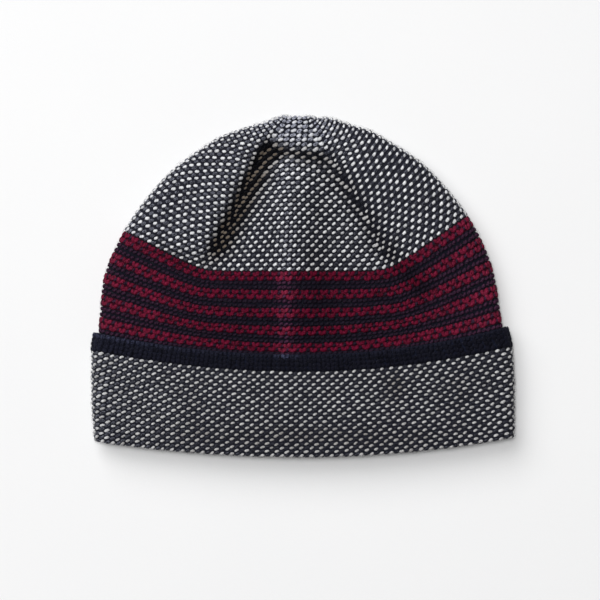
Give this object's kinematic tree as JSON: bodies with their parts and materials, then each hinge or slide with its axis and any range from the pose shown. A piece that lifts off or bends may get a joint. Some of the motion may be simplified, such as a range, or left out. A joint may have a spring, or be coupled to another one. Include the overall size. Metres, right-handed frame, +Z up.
{
  "type": "knit cap",
  "caption": "Close-fitting knitted wool cap with a striped band and a turned-up cuff, lying flat on its back with its mouth open.",
  "frame": {"origin": "on the surface that the cap lies on, under the middle of its bounding box", "axes": "+X across the cap, to the right as seen from above; +Y from the mouth to the top of the crown; +Z up, out of the front"},
  "size_m": [0.2398, 0.194, 0.0289],
  "materials": {
    "birdseye_knit": "woollen knit in alternating pale and dark navy stitches, matt and slightly hairy",
    "striped_knit": "woollen knit in burgundy and dark navy rows, matt and slightly hairy",
    "navy_knit": "ribbed woollen knit in dark navy, matt and slightly hairy",
    "pale_yarn": "undyed pale woollen yarn",
    "navy_yarn": "dark navy woollen yarn",
    "burgundy_yarn": "burgundy woollen yarn"
  },
  "bodies": {
    "root": {"crown": "birdseye_knit", "striped_band": "striped_knit", "cuff": "birdseye_knit", "cuff_edge": "navy_knit"}
  },
  "joints": []
}
